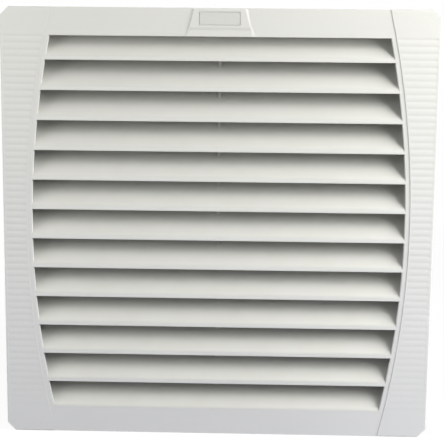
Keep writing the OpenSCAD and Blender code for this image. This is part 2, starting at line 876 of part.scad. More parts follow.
// Drawn rotor can with its shaft hub
module rotor_can() {
    color("dimgray")
        about_y()
            difference() {
                union() {
                    translate([shaft_r, can_front]) square([can_r - can_bend - shaft_r, can_length]);
                    translate([can_r - can_bend - 1, can_front + can_bend])
                        square([can_bend + 1, can_length - can_bend]);
                    translate([can_r - can_bend, can_front + can_bend]) circle(r = can_bend);
                }
                translate([shaft_r + can_hub_wall, can_front + can_wall])
                    square([can_in - shaft_r - can_hub_wall, can_length]);
                translate([0, can_front + can_hub_depth]) square([can_in, can_length]);
            }
}

// Cage of the rotor, pressed into the can
module rotor_cage() {
    color("silver")
        about_y()
            translate([can_in - cage_t, core_front - cage_lap])
                square([cage_t, core_rear - core_front + 2 * cage_lap]);
}

// Shaft with the groove for its circlip
module rotor_shaft() {
    color("silver")
        about_y()
            difference() {
                translate([0, can_front]) square([shaft_r, shaft_end - can_front]);
                translate([shaft_r - circlip_bite, circlip_y - 0.1]) square([1, circlip_t + 0.2]);
            }
}

module shaft_circlip() {
    color("dimgray")
        along_y(circlip_y, circlip_y + circlip_t)
            difference() {
                circle(r = shaft_r + circlip_w);
                circle(r = shaft_r - circlip_bite);
                translate([0, -circlip_gap / 2]) square([shaft_r + circlip_w + 1, circlip_gap]);
            }
}

// Seven rolled blades that stand on the rotor can
module fan_blades() {
    color("dimgray")
        round_y(blade_count)
            intersection() {
                along_x(0, tip_r + 10)
                    translate([fan_mid, 0]) rotate(blade_pitch) rolled_sheet_2d();
                along_y(can_front, can_rear)
                    difference() {
                        circle(r = tip_r, $fn = 120);
                        circle(r = can_r, $fn = 120);
                    }
                along_y(can_front, can_rear) blade_plan_2d();
            }
}

// Section of a blade rolled to an arc, drawn as Y against the direction of turning
module rolled_sheet_2d() {
    reach = tip_r * sin(blade_span);
    intersection() {
        translate([camber_radius, 0])
            difference() {
                circle(r = camber_radius + fan_sheet / 2, $fn = 180);
                circle(r = camber_radius - fan_sheet / 2, $fn = 180);
            }
        translate([-reach / 2, -reach]) square([reach, 2 * reach]);
    }
}

// Swept outline of a blade seen along the axis
module blade_plan_2d() {
    steps = 8;
    sweep = 10;
    edge = function (side) [for (i = [0 : steps])
        let (f = i / steps, r = can_r - 3 + f * (tip_r + 6 - can_r))
        ring_xz(r, side * blade_span / 2 * (0.75 + 0.25 * f) + sweep * f * f)];
    lead = edge(1);
    trail = edge(-1);
    polygon(concat(trail, [for (i = [steps : -1 : 0]) lead[i]]));
}

// Smooth curve through points, a few steps for each stretch
function curve(p, n) = concat([for (i = [0 : len(p) - 2], j = [0 : n - 1])
    let (t = j / n, a = p[max(i - 1, 0)], b = p[i], c = p[i + 1], d = p[min(i + 2, len(p) - 1)])
    b + (c - a) / 2 * t + (2 * a - 5 * b + 4 * c - d) / 2 * t * t + (3 * b - a - 3 * c + d) / 2 * t * t * t],
    [p[len(p) - 1]]);

function unit(v) = v / norm(v);

// Round tube swept along a path
module tube(path, r, sides = 10) {
    n = len(path);
    rings = [for (i = [0 : n - 1])
        let (
            d = unit(path[min(i + 1, n - 1)] - path[max(i - 1, 0)]),
            u = unit(cross(d, abs(d[1]) > 0.9 ? [1, 0, 0.3] : [0, 1, 0.2])),
            v = cross(d, u))
        [for (k = [0 : sides - 1]) path[i] + r * (cos(k * 360 / sides) * u + sin(k * 360 / sides) * v)]];
    polyhedron(
        points = [for (ring = rings, q = ring) q],
        faces = concat(
            [[for (k = [0 : sides - 1]) k]],
            [[for (k = [sides - 1 : -1 : 0]) (n - 1) * sides + k]],
            [for (i = [0 : n - 2], k = [0 : sides - 1])
                [i * sides + k, (i + 1) * sides + k,
                    (i + 1) * sides + (k + 1) % sides, i * sides + (k + 1) % sides]]));
}

// Lead from the motor along a spoke, out through the nozzle's notch and down to the terminals
module motor_lead() {
    start = (motor_flange_r - lead_bury) * lead_dir + [0, lead_y, 0];
    color("black")
        tube(concat([start], curve(lead_route, 4)), lead_r);
}

// Three cores from the sheath to the poles
module lead_cores() {
    color("sienna")
        for (i = [-1, 0, 1])
            tube(curve([for (q = core_route) lead_end + [i * q[0], 0, q[1]]], 2), core_wire_r, 8);
}

// Block with three poles; each has a wire entry above and below and two screws behind
module terminal_block() {
    w = terminal_size[0] / 2;
    d = terminal_size[1];
    h = terminal_size[2] / 2;
    color("beige")
        translate(terminal)
            difference() {
                block([-w, w], [0, d], [-h, h]);
                for (i = [-1, 0, 1], s = [-1, 1]) {
                    translate([i * pole_pitch, entry_y - terminal[1], s > 0 ? h - pole_bore : -h - 1])
                        cylinder(r = entry_r, h = pole_bore + 1);
                    translate([i * pole_pitch, 0, s * pole_screw_z])
                        rod_y(pole_screw_r, d - pole_bore, d + 1);
                }
                for (i = [-0.5, 0.5])
                    translate([i * pole_pitch, 0, 0]) block([-0.8, 0.8], [d - 3, d + 1], [-h - 1, h + 1]);
            }
}

module terminal_screws() {
    color("silver")
        translate(terminal + [0, terminal_size[1], 0])
            for (i = [-1, 0, 1], s = [-1, 1])
                translate([i * pole_pitch, 0, s * pole_screw_z])
                    difference() {
                        rod_y(pole_screw_r - running_fit, -pole_bore, -2);
                        block([-pole_screw_r, pole_screw_r], [-3, 0], [-0.4, 0.4]);
                    }
}

front_cover();
badge_plate();
base_housing();
panel_gasket();
filter_mat();
filter_grid();
fan_shroud();
shroud_screws();
clip_left_upper();
clip_left_lower();
clip_right_upper();
clip_right_lower();
fan_guard();
guard_screws();
motor_flange();
motor_screws();
stator_core();
stator_windings();
front_bearing();
rear_bearing();
rotor_can();
rotor_cage();
rotor_shaft();
shaft_circlip();
fan_blades();
motor_lead();
lead_cores();
terminal_block();
terminal_screws();
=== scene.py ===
# Cabinet filter fan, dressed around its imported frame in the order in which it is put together.
import math

import bpy
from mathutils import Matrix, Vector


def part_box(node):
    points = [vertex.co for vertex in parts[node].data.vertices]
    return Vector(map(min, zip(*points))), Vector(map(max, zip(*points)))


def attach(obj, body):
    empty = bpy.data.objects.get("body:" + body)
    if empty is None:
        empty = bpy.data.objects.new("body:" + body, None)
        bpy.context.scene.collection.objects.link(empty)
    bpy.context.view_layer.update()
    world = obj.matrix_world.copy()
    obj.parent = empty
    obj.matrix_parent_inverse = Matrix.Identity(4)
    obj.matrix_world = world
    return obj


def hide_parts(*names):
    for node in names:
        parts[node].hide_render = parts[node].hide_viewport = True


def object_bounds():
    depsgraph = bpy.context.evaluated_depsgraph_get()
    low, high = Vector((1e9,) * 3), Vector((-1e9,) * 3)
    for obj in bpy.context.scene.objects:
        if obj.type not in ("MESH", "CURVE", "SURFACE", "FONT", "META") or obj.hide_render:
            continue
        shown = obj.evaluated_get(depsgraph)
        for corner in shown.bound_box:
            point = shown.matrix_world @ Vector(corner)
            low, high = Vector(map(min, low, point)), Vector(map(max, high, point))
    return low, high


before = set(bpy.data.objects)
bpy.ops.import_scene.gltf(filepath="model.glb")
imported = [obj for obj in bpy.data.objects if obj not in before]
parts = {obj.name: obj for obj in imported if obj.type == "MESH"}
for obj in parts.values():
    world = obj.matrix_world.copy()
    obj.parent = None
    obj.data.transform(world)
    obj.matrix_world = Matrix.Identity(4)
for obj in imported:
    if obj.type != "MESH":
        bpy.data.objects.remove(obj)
cad_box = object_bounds()
bpy.ops.object.select_all(action="DESELECT")


# Base housing, fan shroud and filter grid
# The flange, filter tray and rear wall are one injection moulding in light grey ABS. The fan shroud that is
# screwed to the rear wall and the loose grid in the tray are moulded in the same grey, with a fine satin skin.
def srgb(red, green, blue):
    """Colour as it is read off a screen, 0 to 255, in the linear values that Blender works with."""
    channels = [c / 255 for c in (red, green, blue)]
    return tuple(c / 12.92 if c <= 0.04045 else ((c + 0.055) / 1.055) ** 2.4 for c in channels) + (1.0,)


def add(tree, kind, inputs=None, **settings):
    """A new node with its settings, and each input either linked or given its value."""
    node = tree.nodes.new(kind)
    for name, value in settings.items():
        setattr(node, name, value)
    for name, value in (inputs or {}).items():
        if isinstance(value, bpy.types.NodeSocket):
            tree.links.new(value, node.inputs[name])
        else:
            node.inputs[name].default_value = value
    return node


def calc(tree, operation, *values, **settings):
    """The result of one sum with one or two values."""
    return add(tree, "ShaderNodeMath", dict(enumerate(values)), operation=operation, **settings).outputs[0]


def ramp(tree, value, low, high, start=0.0, end=1.0, **settings):
    """A value that goes from start, where the given one is low, to end, where it is high."""
    limits = {"Value": value, "From Min": low, "From Max": high, "To Min": start, "To Max": end}
    return add(tree, "ShaderNodeMapRange", limits, **settings).outputs["Result"]


def noise(tree, place, scale, detail):
    """A cloudy pattern from 0 to 1."""
    return add(tree, "ShaderNodeTexNoise", {"Vector": place, "Scale": scale, "Detail": detail}).outputs["Fac"]


def spread(tree, value, start, end):
    """A noise value stretched from its usual middle band to the band from start to end."""
    return ramp(tree, value, low=0.3, high=0.7, start=start, end=end)


def shaded(tree, colour, share):
    """A colour times a share."""
    return add(tree, "ShaderNodeVectorMath", {0: colour, "Scale": share}, operation="SCALE").outputs[0]


def rubbed(tree, roughness, value, band):
    """A roughness that goes up and down by a band with a noise value."""
    return calc(tree, "ADD", roughness, spread(tree, value, -band, band), use_clamp=True)


def make_group(name, inputs, outputs):
    """An empty shader group with named sockets; returns its tree, what it is given and what it puts out."""
    kinds = {"vector": "NodeSocketVector", "colour": "NodeSocketColor", "value": "NodeSocketFloat"}
    tree = bpy.data.node_groups.new(name, "ShaderNodeTree")
    for label, kind in inputs.items():
        tree.interface.new_socket(label, in_out="INPUT", socket_type=kinds[kind])
    for label, kind in outputs.items():
        tree.interface.new_socket(label, in_out="OUTPUT", socket_type=kinds[kind])
    return tree, tree.nodes.new("NodeGroupInput").outputs, tree.nodes.new("NodeGroupOutput").inputs


def put_out(tree, result, **sockets):
    """Links what a group has made to its outputs."""
    for label, socket in sockets.items():
        tree.links.new(socket, result[label])


finish_outputs = {"Colour": "colour", "Roughness": "value", "Height": "value"}

# Moulded skin: slow colour drift from the melt's flow, and a fine spark-eroded grain.
skin, given, result = make_group(
    "moulded_skin",
    {"Place": "vector", "Colour": "colour", "Grain": "value", "Gloss": "value"}, finish_outputs)
flow = noise(skin, given["Place"], scale=6.0, detail=2.0)
grain = noise(skin, given["Place"], scale=given["Grain"], detail=3.0)
drift = spread(skin, flow, 0.985, 1.01)
fleck = spread(skin, grain, 0.985, 1.01)
put_out(skin, result,
        Colour=shaded(skin, given["Colour"], calc(skin, "MULTIPLY", drift, fleck)),
        Roughness=rubbed(skin, given["Gloss"], grain, band=0.05),
        Height=grain)


def surface(name, group, values, bump, **shader):
    """A material whose colour, roughness and bump come from a group; shader sets plain sockets."""
    material = bpy.data.materials.new(name)
    material.use_nodes = True
    tree = material.node_tree
    principled = tree.nodes["Principled BSDF"]
    place = add(tree, "ShaderNodeTexCoord").outputs["Object"]
    work = add(tree, "ShaderNodeGroup", {"Place": place, **values}, node_tree=group)
    dents = add(tree, "ShaderNodeBump", {"Height": work.outputs["Height"], "Strength": 0.3, "Distance": bump})
    tree.links.new(work.outputs["Colour"], principled.inputs["Base Color"])
    tree.links.new(work.outputs["Roughness"], principled.inputs["Roughness"])
    tree.links.new(dents.outputs["Normal"], principled.inputs["Normal"])
    for label, value in shader.items():
        principled.inputs[label].default_value = value
    return material


def dress(material, *names):
    """Gives a material to the named solids of the frame."""
    for name in names:
        for slot in parts[name].material_slots:
            slot.material = material


housing_grey = surface(
    "housing_grey_abs", skin, {"Colour": srgb(211, 212, 208), "Grain": 1500.0, "Gloss": 0.5}, bump=0.00006)
dress(housing_grey, "base_housing", "fan_shroud", "filter_grid")


# Panel gasket
# A ring of closed-cell foam, glued into the rebate of the flange, seals the unit against the panel.
# Its cut face shows the burst cells as pits of about a millimetre, with painted shade in the pits.
foam, given, result = make_group(
    "foam_cells", {"Place": "vector", "Colour": "colour", "Cells": "value"}, finish_outputs)
cells = add(foam, "ShaderNodeTexVoronoi", {"Vector": given["Place"], "Scale": given["Cells"]})
hollow = cells.outputs["Distance"]
# Painted shade: the colour is darker where the cells' bump is low.
pit_shade = ramp(foam, hollow, low=0.1, high=0.7, start=0.55, end=1.2)
put_out(foam, result,
        Colour=shaded(foam, given["Colour"], pit_shade),
        Roughness=ramp(foam, hollow, low=0.0, high=1.0, start=0.8, end=0.95),
        Height=hollow)
gasket_foam = surface("gasket_foam", foam, {"Colour": srgb(52, 53, 54), "Cells": 900.0}, bump=0.0003)
dress(gasket_foam, "panel_gasket")


# Panel clips
# Four strips of rolled spring steel, curled round their pivot pins and bent to a nose that grips the
# panel's edge from behind. The rolling leaves fine streaks along the strip.
steel, given, result = make_group(
    "worked_metal",
    {"Place": "vector", "Streaks": "vector", "Colour": "colour", "Gloss": "value"}, finish_outputs)
drawn = add(steel, "ShaderNodeVectorMath", {0: given["Place"], 1: given["Streaks"]}, operation="MULTIPLY")
lines = noise(steel, drawn.outputs[0], scale=1.0, detail=3.0)
cloud = noise(steel, given["Place"], scale=60.0, detail=2.0)
drift = spread(steel, cloud, 0.9, 1.04)
glint = spread(steel, lines, 0.9, 1.08)
put_out(steel, result,
        Colour=shaded(steel, given["Colour"], calc(steel, "MULTIPLY", drift, glint)),
        Roughness=rubbed(steel, given["Gloss"], lines, band=0.08),
        Height=lines)
clip_steel = surface(
    "clip_spring_steel", steel,
    {"Streaks": (300, 300, 3500), "Colour": srgb(186, 187, 188), "Gloss": 0.32}, bump=0.00002, Metallic=1.0)
dress(clip_steel, "clip_left_upper", "clip_left_lower", "clip_right_upper", "clip_right_lower")


# Motor flange and stator
# A die-cast aluminium flange carries the bearing tube; the stack of stamped laminations sits on the tube,
# wound with enamelled copper wire, and a ball bearing is pressed into each end.
flange_cast = surface(
    "flange_cast_aluminium", steel,
    {"Streaks": (1200, 1200, 1200), "Colour": srgb(196, 197, 199), "Gloss": 0.55}, bump=0.00012, Metallic=1.0)
dress(flange_cast, "motor_flange")

# Fine bands: the edges of stacked sheets or the turns of a wire, each with a round top and a dark crease of
# painted shade between them.
bands, given, result = make_group(
    "fine_bands",
    {"Place": "vector", "Along": "vector", "Colour": "colour", "Gloss": "value"}, finish_outputs)
counted = add(bands, "ShaderNodeVectorMath", {0: given["Place"], 1: given["Along"]}, operation="MULTIPLY")
depth = add(bands, "ShaderNodeVectorMath", {0: counted.outputs[0]}, operation="LENGTH")
wave = calc(bands, "SINE", calc(bands, "MULTIPLY", depth.outputs["Value"], math.pi))
round_top = calc(bands, "ABSOLUTE", wave)
# Painted shade: darker where the band's bump runs low, in the crease.
crease_shade = ramp(bands, round_top, low=0.0, high=0.6, start=0.45, end=1.0)
cloud = noise(bands, given["Place"], scale=90.0, detail=2.0)
drift = spread(bands, cloud, 0.85, 1.08)
put_out(bands, result,
        Colour=shaded(bands, given["Colour"], calc(bands, "MULTIPLY", crease_shade, drift)),
        Roughness=rubbed(bands, given["Gloss"], cloud, band=0.08),
        Height=round_top)
sheet_pitch = 0.0005
core_sheets = surface(
    "stator_laminations", bands,
    {"Along": (0, 1 / sheet_pitch, 0), "Colour": srgb(128, 130, 134), "Gloss": 0.5}, bump=0.00008, Metallic=1.0)
dress(core_sheets, "stator_core")
wire_pitch = 0.0007
coil_wire = surface(
    "coil_enamelled_copper", bands,
    {"Along": (1 / wire_pitch, 0, 1 / wire_pitch), "Colour": srgb(190, 106, 52), "Gloss": 0.3},
    bump=0.0002, Metallic=0.85)
dress(coil_wire, "stator_windings")
bearing_steel = surface(
    "bearing_ground_steel", steel,
    {"Streaks": (400, 4000, 400), "Colour": srgb(204, 206, 209), "Gloss": 0.22}, bump=0.00001, Metallic=1.0)
dress(bearing_steel, "front_bearing", "rear_bearing")


# Rotor
# The drawn steel can and its seven rolled blades turn as one piece and are stove-enamelled black; the cast
# cage is pressed into the can, and the ground shaft runs through both bearings behind a circlip.
enamel, given, result = make_group(
    "stove_enamel", {"Place": "vector", "Colour": "colour", "Gloss": "value"}, finish_outputs)
peel = noise(enamel, given["Place"], scale=700.0, detail=1.0)
settled = noise(enamel, given["Place"], scale=45.0, detail=4.0)
put_out(enamel, result,
        Colour=shaded(enamel, given["Colour"], spread(enamel, settled, 0.85, 1.2)),
        Roughness=rubbed(enamel, given["Gloss"], settled, band=0.07),
        Height=peel)
rotor_black = surface("rotor_black_enamel", enamel, {"Colour": srgb(44, 45, 47), "Gloss": 0.4}, bump=0.00005)
dress(rotor_black, "rotor_can", "fan_blades")
cage_cast = surface(
    "cage_cast_aluminium", steel,
    {"Streaks": (900, 2500, 900), "Colour": srgb(201, 202, 204), "Gloss": 0.45}, bump=0.00004, Metallic=1.0)
dress(cage_cast, "rotor_cage")
shaft_ground = surface(
    "shaft_ground_steel", steel,
    {"Streaks": (300, 5000, 300), "Colour": srgb(202, 203, 206), "Gloss": 0.2}, bump=0.00001, Metallic=1.0)
dress(shaft_ground, "rotor_shaft", "shaft_circlip")


# Fan guard
# The finger guard is moulded in black glass-filled nylon: rim, lugs, seven rings, eight spokes and the hub
# that carries the motor. The glass leaves the skin a little dull and streaked.
guard_black = surface(
    "guard_black_nylon", skin, {"Colour": srgb(47, 48, 50), "Grain": 1100.0, "Gloss": 0.52}, bump=0.00008)
dress(guard_black, "fan_guard")


# Screws
# Zinc-plated pan-head screws with a cross recess fix the shroud to the housing, the guard to the shroud's
# posts and the motor to the guard; slotted grub screws clamp the wires. The plating has a bluish bloom.
screw_zinc = surface(
    "screw_zinc_plate", steel,
    {"Streaks": (1500, 1500, 1500), "Colour": srgb(205, 207, 210), "Gloss": 0.28}, bump=0.00002, Metallic=1.0)
dress(screw_zinc, "shroud_screws", "guard_screws", "motor_screws", "terminal_screws")


# Terminal block
# A three-pole block in off-white polyamide on the housing's rear wall. Its wire entries are above and below
# and its screws are behind.
terminal_white = surface(
    "terminal_polyamide", skin, {"Colour": srgb(232, 230, 221), "Grain": 1800.0, "Gloss": 0.42}, bump=0.00003)
dress(terminal_white, "terminal_block")


# Motor lead and its cores
# A round black sheathed lead lies in two saddles along a guard spoke, leaves through the nozzle's notch and
# comes down to the terminals, where its three insulated cores fan out into the poles. Sizes are in millimetres.
def curve_through(points, steps):
    """Smooth curve through points, as the solid's route is drawn."""
    path = []
    for i in range(len(points) - 1):
        a, b = points[max(i - 1, 0)], points[i]
        c, d = points[i + 1], points[min(i + 2, len(points) - 1)]
        for j in range(steps):
            t = j / steps
            path.append([
                q + (r - p) / 2 * t
                + (2 * p - 5 * q + 4 * r - s) / 2 * t ** 2
                + (3 * q - p - 3 * r + s) / 2 * t ** 3
                for p, q, r, s in zip(a, b, c, d)])
    return path + [list(points[-1])]


def round_wire(name, path, radius, sides):
    """A closed round tube along a path."""
    line = bpy.data.curves.new(name, "CURVE")
    line.dimensions = "3D"
    line.bevel_depth = radius / 1000
    line.bevel_resolution = sides // 4 - 1
    line.use_fill_caps = True
    spline = line.splines.new("POLY")
    spline.points.add(len(path) - 1)
    for point, (x, y, z) in zip(spline.points, path):
        point.co = (x / 1000, y / 1000, z / 1000, 1)
    wire = bpy.data.objects.new(name, line)
    bpy.context.collection.objects.link(wire)
    bpy.ops.object.select_all(action="DESELECT")
    wire.select_set(True)
    bpy.context.view_layer.objects.active = wire
    bpy.ops.object.convert(target="MESH")
    wire = bpy.context.view_layer.objects.active
    bpy.ops.object.mode_set(mode="EDIT")
    bpy.ops.mesh.select_all(action="SELECT")
    bpy.ops.mesh.remove_doubles(threshold=0.00001)
    bpy.ops.mesh.normals_make_consistent(inside=False)
    bpy.ops.object.mode_set(mode="OBJECT")
    bpy.ops.object.shade_smooth_by_angle(angle=math.radians(50))
    return wire


lead_start = 37
nozzle_out = 119
lead_turn = math.radians(-22.5)
lead_y = 108
lead_radius = 2.5
terminal = (117, 38, -121)
lead_end = (117, 47, -102)


def on_spoke(radius, y, drop=0):
    """A point over the guard's spoke that carries the lead, or below it by a drop."""
    return (radius * math.cos(lead_turn), y, radius * math.sin(lead_turn) + drop)


lead_route = [
    on_spoke(nozzle_out, lead_y),
    on_spoke(nozzle_out + 9, lead_y - 4),
    on_spoke(nozzle_out + 13, lead_y - 16, -4),
    [terminal[0] + 4, terminal[1] + 38, terminal[2] + 45],
    [terminal[0] + 1, terminal[1] + 14, terminal[2] + 31],
    [lead_end[0], lead_end[1], lead_end[2] + 7],
    lead_end]
lead_path = [on_spoke(lead_start, lead_y)] + curve_through(lead_route, steps=10)
lead = round_wire("motor_lead_sheath", lead_path, lead_radius, sides=20)
sheath, given, result = make_group(
    "sheath_rubber", {"Place": "vector", "Colour": "colour", "Gloss": "value"}, finish_outputs)
bloom = noise(sheath, given["Place"], scale=120.0, detail=4.0)
put_out(sheath, result,
        Colour=shaded(sheath, given["Colour"], spread(sheath, bloom, 0.8, 1.25)),
        Roughness=rubbed(sheath, given["Gloss"], bloom, band=0.1),
        Height=noise(sheath, given["Place"], scale=2500.0, detail=1.0))
lead_black = surface("lead_black_sheath", sheath, {"Colour": srgb(38, 38, 39), "Gloss": 0.6}, bump=0.00003)
lead.data.materials.append(lead_black)
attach(lead, "housing")
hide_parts("motor_lead")

core_radius = 0.75
core_spread = 1.65
pole_pitch = 11
core_route = [
    (core_spread, -0.3), (2 * core_spread, -3), (0.8 * pole_pitch, -6), (pole_pitch, -9.5), (pole_pitch, -15)]
core_colours = {"brown": srgb(110, 66, 40), "green": srgb(104, 150, 62), "blue": srgb(52, 96, 164)}
wires = []
for side, (colour_name, colour) in zip((-1, 0, 1), core_colours.items()):
    route = [(lead_end[0] + side * x, lead_end[1], lead_end[2] + z) for x, z in core_route]
    wire = round_wire("core_" + colour_name, curve_through(route, steps=6), core_radius, sides=12)
    core_pvc = surface("core_pvc_" + colour_name, sheath, {"Colour": colour, "Gloss": 0.4}, bump=0.00001)
    wire.data.materials.append(core_pvc)
    wires.append(wire)
bpy.ops.object.select_all(action="DESELECT")
for wire in wires:
    wire.select_set(True)
bpy.context.view_layer.objects.active = wires[0]
bpy.ops.object.join()
cores = bpy.context.view_layer.objects.active
cores.name = "lead_core_wires"
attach(cores, "housing")
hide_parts("lead_cores")


# Filter mat
# A square cut from a roll of white polyester fleece, laid into the tray on the grid and kept there by the
# closed cover. It is stiff and flat, with soft cut edges and a slightly lumpy, fibrous face.
mat_low, mat_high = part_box("filter_mat")
mat_thick = mat_high[1] - mat_low[1]
mat_side = mat_high[0] - mat_low[0]
mat_squares = 120
layers = (0.0006, 0.0022, 0.0057, 0.0057, 0.0022, 0.0006)
layer_scale = mat_thick / sum(layers)
bpy.ops.mesh.primitive_grid_add(
    x_subdivisions=mat_squares, y_subdivisions=mat_squares, size=mat_side,
    location=(0, mat_low[1], 0), rotation=(math.radians(90), 0, 0))
fleece = bpy.context.view_layer.objects.active
fleece.name = "filter_fleece_mat"
bpy.ops.object.transform_apply(location=True, rotation=True, scale=True)
bpy.ops.object.mode_set(mode="EDIT")
bpy.ops.mesh.select_all(action="SELECT")
for layer in layers:
    bpy.ops.mesh.extrude_region_move(TRANSFORM_OT_translate={"value": (0, layer * layer_scale, 0)})
bpy.ops.mesh.select_all(action="SELECT")
bpy.ops.mesh.normals_make_consistent(inside=False)
bpy.ops.object.mode_set(mode="OBJECT")
edge_round = 0.0026
for vertex in fleece.data.vertices:
    inside = min(vertex.co.y - mat_low[1], mat_high[1] - vertex.co.y)
    pull = edge_round * max(0.0, 1 - inside / edge_round) ** 2
    shrink = 1 - 2 * pull / mat_side
    vertex.co.x *= shrink
    vertex.co.z *= shrink
for label, size, height in (("fleece_lumps", 0.016, 0.0012), ("fleece_tufts", 0.0042, 0.0009)):
    pattern = bpy.data.textures.new(label, "CLOUDS")
    pattern.noise_scale = size
    swell = fleece.modifiers.new(label, "DISPLACE")
    swell.texture = pattern
    swell.texture_coords = "LOCAL"
    swell.mid_level = 1.0
    swell.strength = height
    bpy.ops.object.modifier_apply(modifier=label)
bpy.ops.object.shade_smooth()


def mixed_colour(tree, share, first, second):
    """A colour that goes from the first to the second as the share goes from 0 to 1."""
    mix = add(tree, "ShaderNodeMix", {"Factor": share, "A": first, "B": second}, data_type="RGBA")
    return mix.outputs["Result"]


fibres = bpy.data.materials.new("filter_white_fleece")
fibres.use_nodes = True
tree = fibres.node_tree
principled = tree.nodes["Principled BSDF"]
place = add(tree, "ShaderNodeTexCoord").outputs["Object"]
fibre_stretch = (260, 900, 2600)
fibre_turns = (0, 50, 100, 155)
strands = None
for turn in fibre_turns:
    lay = add(tree, "ShaderNodeMapping",
              {"Vector": place, "Rotation": (0, math.radians(turn), 0), "Scale": fibre_stretch})
    strand = add(tree, "ShaderNodeTexNoise",
                 {"Vector": lay.outputs[0], "Scale": 1.0, "Detail": 1.0, "Distortion": 0.6}).outputs["Fac"]
    strands = strand if strands is None else calc(tree, "MAXIMUM", strands, strand)
# Painted shade: the colour is darker where the fibres' bump runs low, between the fibres.
loft = ramp(tree, strands, low=0.5, high=0.75)
fuzz = add(tree, "ShaderNodeBump", {"Height": strands, "Strength": 0.6, "Distance": 0.0006})
fleece_white = mixed_colour(tree, loft, srgb(206, 207, 205), srgb(240, 240, 237))
tree.links.new(fleece_white, principled.inputs["Base Color"])
tree.links.new(fuzz.outputs["Normal"], principled.inputs["Normal"])
principled.inputs["Roughness"].default_value = 0.95
principled.inputs["Sheen Weight"].default_value = 0.25
fleece.data.materials.append(fibres)
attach(fleece, "housing")
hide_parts("filter_mat")


# Front cover
# One injection moulding in light grey ABS: twelve sloped louvre blades between bowed sides, two ribbed wings
# and the boss at the top. It folds down on its bottom hinge pins and snaps over the tray at the top.
cover_grey = surface(
    "cover_grey_abs", skin, {"Colour": srgb(222, 222, 217), "Grain": 1300.0, "Gloss": 0.46}, bump=0.00005)
dress(cover_grey, "front_cover")

# Painted light and shade: a painted tint of light makes the grey bluer and a little lighter towards the bottom,
# a darker grey of painted shade lies in patches where a face looks up, and a still darker painted shade sits on
# what stands square ahead in the depth of the grille.
painted_tree, given, result = make_group(
    "painted_tint_and_shade",
    {"Place": "vector", "Facing": "vector", "Unshaded": "colour", "Up_shade": "colour", "Deep_shade": "colour"},
    {"Colour": "colour"})
facing = add(painted_tree, "ShaderNodeSeparateXYZ", {"Vector": given["Facing"]}).outputs
place = add(painted_tree, "ShaderNodeSeparateXYZ", {"Vector": given["Place"]}).outputs
# Painted tint of light: the colour is bluer and a little lighter at the bottom than at the top.
bottom_light_colour, top_light_colour = (1.055, 1.062, 1.15, 1), (1, 1, 1, 1)
tint_of_light = mixed_colour(painted_tree, ramp(painted_tree, place["Z"], low=-0.16, high=0.16), bottom_light_colour, top_light_colour)
light_tinted = add(painted_tree, "ShaderNodeVectorMath", {0: given["Unshaded"], 1: tint_of_light}, operation="MULTIPLY").outputs[0]
# Painted shade, in patches, on the faces that look up.
looks_up = ramp(painted_tree, facing["Z"], low=0.02, high=0.5, interpolation_type="SMOOTHSTEP")
patchy = spread(painted_tree, noise(painted_tree, given["Place"], scale=60.0, detail=4.0), 0.9, 1.0)
shaded_up = mixed_colour(painted_tree, calc(painted_tree, "MULTIPLY", looks_up, patchy), light_tinted, given["Up_shade"])
# Painted shade, darker still, on the faces that stand square ahead deep in the grille.
square = ramp(painted_tree, facing["Y"], low=-0.93, high=-0.99)
deep = ramp(painted_tree, place["Y"], low=-0.016, high=-0.0145)
shaded_deep = mixed_colour(painted_tree, calc(painted_tree, "MULTIPLY", square, deep), shaded_up, given["Deep_shade"])
put_out(painted_tree, result, Colour=shaded_deep)

tree = cover_grey.node_tree
principled = tree.nodes["Principled BSDF"]
here = add(tree, "ShaderNodeTexCoord").outputs
moulded = principled.inputs["Base Color"].links[0].from_socket
# The cover's colour with the painted tint of light and the painted shade laid over it.
painted_light = add(tree, "ShaderNodeGroup",
           {"Place": here["Object"], "Facing": here["Normal"], "Unshaded": moulded,
            "Up_shade": srgb(199, 199, 194), "Deep_shade": srgb(184, 184, 179)}, node_tree=painted_tree)
tree.links.new(painted_light.outputs["Colour"], principled.inputs["Base Color"])

# Soft edges: the narrow faces of steps and rims that look to the right are polished off in the mould, and so
# are the flanks of the shallow grooves, most of all near the bottom. They catch the light much as the face
# beside them.
edges, given, result = make_group("soft_edges", {"Place": "vector", "Facing": "vector"}, {"Normal": "vector"})
facing = add(edges, "ShaderNodeSeparateXYZ", {"Vector": given["Facing"]}).outputs
place = add(edges, "ShaderNodeSeparateXYZ", {"Vector": given["Place"]}).outputs
looks_right = ramp(edges, facing["X"], low=0.2, high=0.5, end=0.6)
looks_ahead = ramp(edges, facing["Y"], low=-0.2, high=-0.35)
narrow = calc(edges, "MULTIPLY", looks_right, looks_ahead)
almost_flat = ramp(edges, facing["Y"], low=-0.95, high=-0.98)
near_bottom = ramp(edges, place["Z"], low=-0.14, high=-0.01, start=0.8, end=0.15)
shallow = calc(edges, "MULTIPLY", almost_flat, near_bottom)
straight_ahead = (0, -1, 0)
eased = add(edges, "ShaderNodeMix", {"Factor": calc(edges, "MAXIMUM", narrow, shallow),
                                     "A": given["Facing"], "B": straight_ahead}, data_type="VECTOR")
standing = add(edges, "ShaderNodeVectorTransform", {"Vector": eased.outputs["Result"]},
               vector_type="NORMAL", convert_from="OBJECT", convert_to="WORLD")
put_out(edges, result, Normal=standing.outputs[0])
softened = add(tree, "ShaderNodeGroup", {"Place": here["Object"], "Facing": here["Normal"]}, node_tree=edges)
dents = principled.inputs["Normal"].links[0].from_node
tree.links.new(softened.outputs["Normal"], dents.inputs["Normal"])


# Badge plate
# A thin blank plate of the same grey, pressed into the recess of the boss. It is smoother than the moulding
# round it.
badge_grey = surface(
    "badge_grey_abs", skin, {"Colour": srgb(214, 214, 210), "Grain": 2200.0, "Gloss": 0.36}, bump=0.00002)
dress(badge_grey, "badge_plate")


